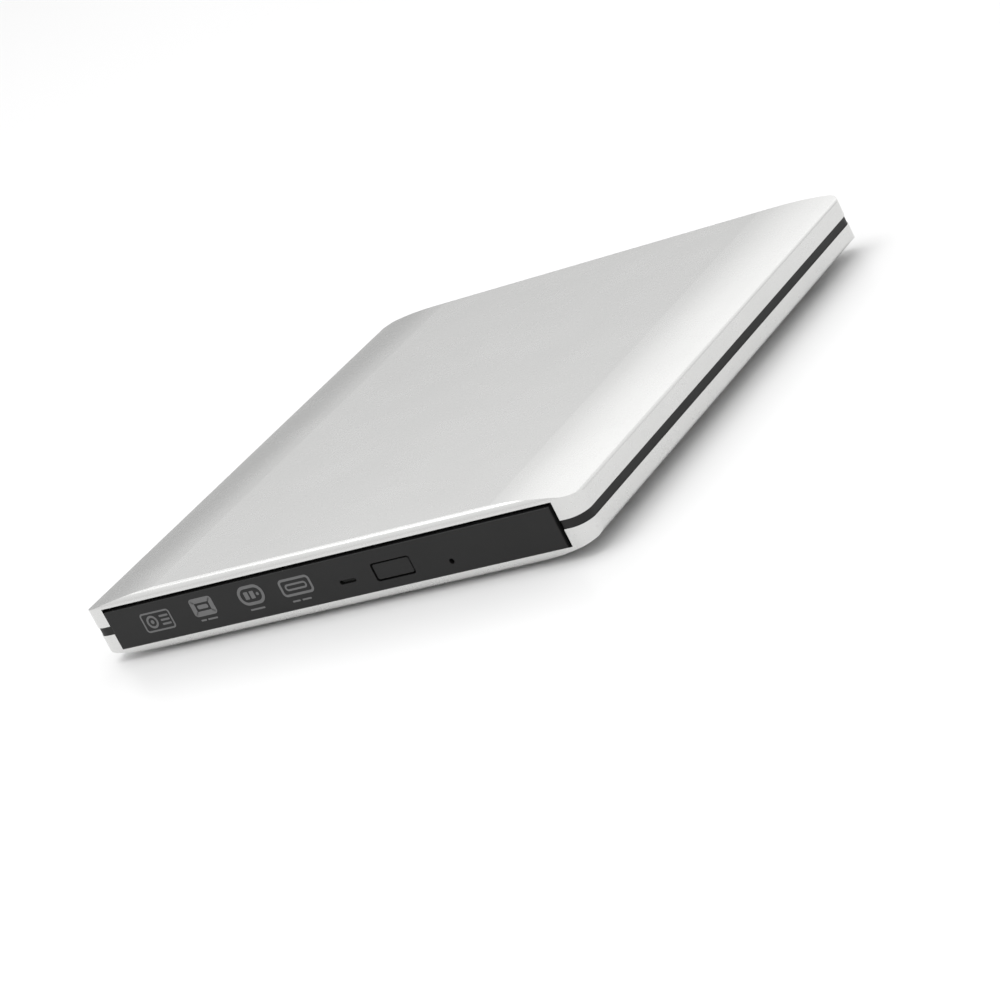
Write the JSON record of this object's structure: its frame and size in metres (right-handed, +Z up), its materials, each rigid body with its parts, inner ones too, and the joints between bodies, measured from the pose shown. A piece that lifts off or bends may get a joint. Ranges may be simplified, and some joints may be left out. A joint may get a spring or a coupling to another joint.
{
  "type": "external optical drive",
  "caption": "Slim external disc drive: rounded silver aluminium shells around a black band, black front with eject button, and a sliding disc tray.",
  "frame": {"origin": "centre of the footprint, on the surface that the rubber feet stand on", "axes": "+Z up; the tray opens towards -Y; +X is to the right when facing the front"},
  "size_m": [0.141, 0.146, 0.0157],
  "materials": {
    "shell": "satin, fine bead blasted",
    "black_frame": "matt black",
    "bezel_plastic": "fine satin black",
    "black_moulding": "matt black",
    "tray_plastic": "fine grain black",
    "guide_plastic": "smooth black",
    "claw_plastic": "natural white",
    "lens_plastic": "matt black",
    "contact_plastic": "blue with gold contacts",
    "light_pipe": "clear, faintly frosted",
    "rubber": "matt",
    "foam": "open cell",
    "board": "green solder mask",
    "chips": "matt black",
    "ribbon": "white film over flat wires",
    "drive_steel": "zinc plated, satin",
    "rail_steel": "satin",
    "rod_steel": "ground and polished",
    "screw_steel": "nickel plated",
    "socket_steel": "bright tin plated",
    "core_steel": "dull",
    "trim_aluminium": "fine brushed",
    "pickup_metal": "fine die-cast grey",
    "copper": "enamelled copper wire",
    "pin_brass": "bright",
    "lens_glass": "polished with a faint blue coating"
  },
  "bodies": {
    "case": {"top_shell": "shell", "bottom_shell": "shell", "side_band": "black_frame", "rubber_feet": "rubber", "case_screws": "screw_steel", "foam_pads": "foam", "bridge_board": "board", "bridge_board_parts": "chips", "usb_socket_shell": "socket_steel", "usb_socket_tongues": "contact_plastic", "power_jack": "black_moulding", "power_jack_pin": "pin_brass", "sata_socket": "black_moulding", "sata_plug": "black_moulding", "drive_pan": "drive_steel", "drive_cover": "drive_steel", "drive_screws": "screw_steel", "latch_post": "screw_steel", "rail_guides": "guide_plastic", "drive_board": "board", "drive_board_parts": "chips"},
    "tray": {"tray": "tray_plastic", "tray_under_cover": "drive_steel", "tray_screws": "screw_steel", "bezel": "bezel_plastic", "led_light_pipe": "light_pipe", "front_board": "board", "front_board_parts": "chips", "tray_board": "board", "tray_board_parts": "chips", "motor_base": "drive_steel", "motor_stator": "core_steel", "motor_coils": "copper", "guide_rods": "rod_steel", "traverse_frame": "drive_steel", "rubber_dampers": "rubber", "traverse_cover": "trim_aluminium", "sled_motor": "drive_steel", "solenoid_frame": "drive_steel", "solenoid_coil": "copper", "ejector_rod": "rod_steel", "ejector_spring": "rod_steel", "ribbon_cable": "ribbon"},
    "rail_left": {"slide_rail_left": "rail_steel"},
    "rail_right": {"slide_rail_right": "rail_steel"},
    "eject_button": {"eject_button": "bezel_plastic"},
    "spindle": {"rotor_cup": "rod_steel", "friction_ring": "rubber", "turntable_hub": "tray_plastic"},
    "claw_1": {"hub_claw_1": "claw_plastic"},
    "claw_2": {"hub_claw_2": "claw_plastic"},
    "claw_3": {"hub_claw_3": "claw_plastic"},
    "pickup": {"pickup_casting": "pickup_metal", "laser_and_sensor": "pin_brass", "focus_magnets": "core_steel"},
    "lens": {"lens_holder": "lens_plastic", "pickup_lens": "lens_glass"},
    "lead_screw": {"lead_screw": "rod_steel"},
    "latch": {"latch_lever": "claw_plastic"},
    "plunger": {"solenoid_plunger": "rod_steel"}
  },
  "joints": [
    {"name": "tray_slide", "type": "slide", "parent": "case", "child": "tray", "axis": [0, -1, 0], "range_m": [0, 0.124], "deforming": ["ribbon_cable"]},
    {"name": "rail_left_slide", "type": "slide", "parent": "case", "child": "rail_left", "axis": [0, -1, 0], "range_m": [0, 0.062]},
    {"name": "rail_right_slide", "type": "slide", "parent": "case", "child": "rail_right", "axis": [0, -1, 0], "range_m": [0, 0.062]},
    {"name": "eject_button_press", "type": "slide", "parent": "tray", "child": "eject_button", "axis": [0, 1, 0], "range_m": [0, 0.0006], "stiffness_N_per_m": 600, "springref_m": -0.0003},
    {"name": "disc_spin", "type": "hinge", "parent": "tray", "child": "spindle", "pos_m": [0, -0.0085, 0.0092], "axis": [0, 0, 1], "continuous": true},
    {"name": "claw_1_slide", "type": "slide", "parent": "spindle", "child": "claw_1", "axis": [0, 1, 0], "range_m": [-0.0003, 0], "stiffness_N_per_m": 300, "springref_m": 0.0002},
    {"name": "claw_2_slide", "type": "slide", "parent": "spindle", "child": "claw_2", "axis": [-0.866, -0.5, 0], "range_m": [-0.0003, 0], "stiffness_N_per_m": 300, "springref_m": 0.0002},
    {"name": "claw_3_slide", "type": "slide", "parent": "spindle", "child": "claw_3", "axis": [0.866, -0.5, 0], "range_m": [-0.0003, 0], "stiffness_N_per_m": 300, "springref_m": 0.0002},
    {"name": "pickup_slide", "type": "slide", "parent": "tray", "child": "pickup", "axis": [-0.7071, -0.7071, 0], "range_m": [0, 0.034]},
    {"name": "lens_focus", "type": "slide", "parent": "pickup", "child": "lens", "axis": [0, 0, 1], "range_m": [-0.0003, 0.0003], "stiffness_N_per_m": 60},
    {"name": "lead_screw_spin", "type": "hinge", "parent": "tray", "child": "lead_screw", "pos_m": [0.01054, -0.02837, 0.0069], "axis": [-0.7071, -0.7071, 0], "range_deg": [0, 4081]},
    {"name": "latch_swing", "type": "hinge", "parent": "tray", "child": "latch", "pos_m": [0.0508, -0.0515, 0.0061], "axis": [0, 0, 1], "range_deg": [0, 20.01]},
    {"name": "plunger_slide", "type": "slide", "parent": "tray", "child": "plunger", "axis": [1, 0, 0], "range_m": [0, 0.002]}
  ],
  "couplings": [
    {"joint": "rail_left_slide", "follows": "tray_slide", "ratio": 0.5},
    {"joint": "rail_right_slide", "follows": "tray_slide", "ratio": 0.5},
    {"joint": "lead_screw_spin", "follows": "pickup_slide", "rad_per_m": 2094.4},
    {"joint": "latch_swing", "follows": "plunger_slide", "rad_per_m": 174.53}
  ]
}
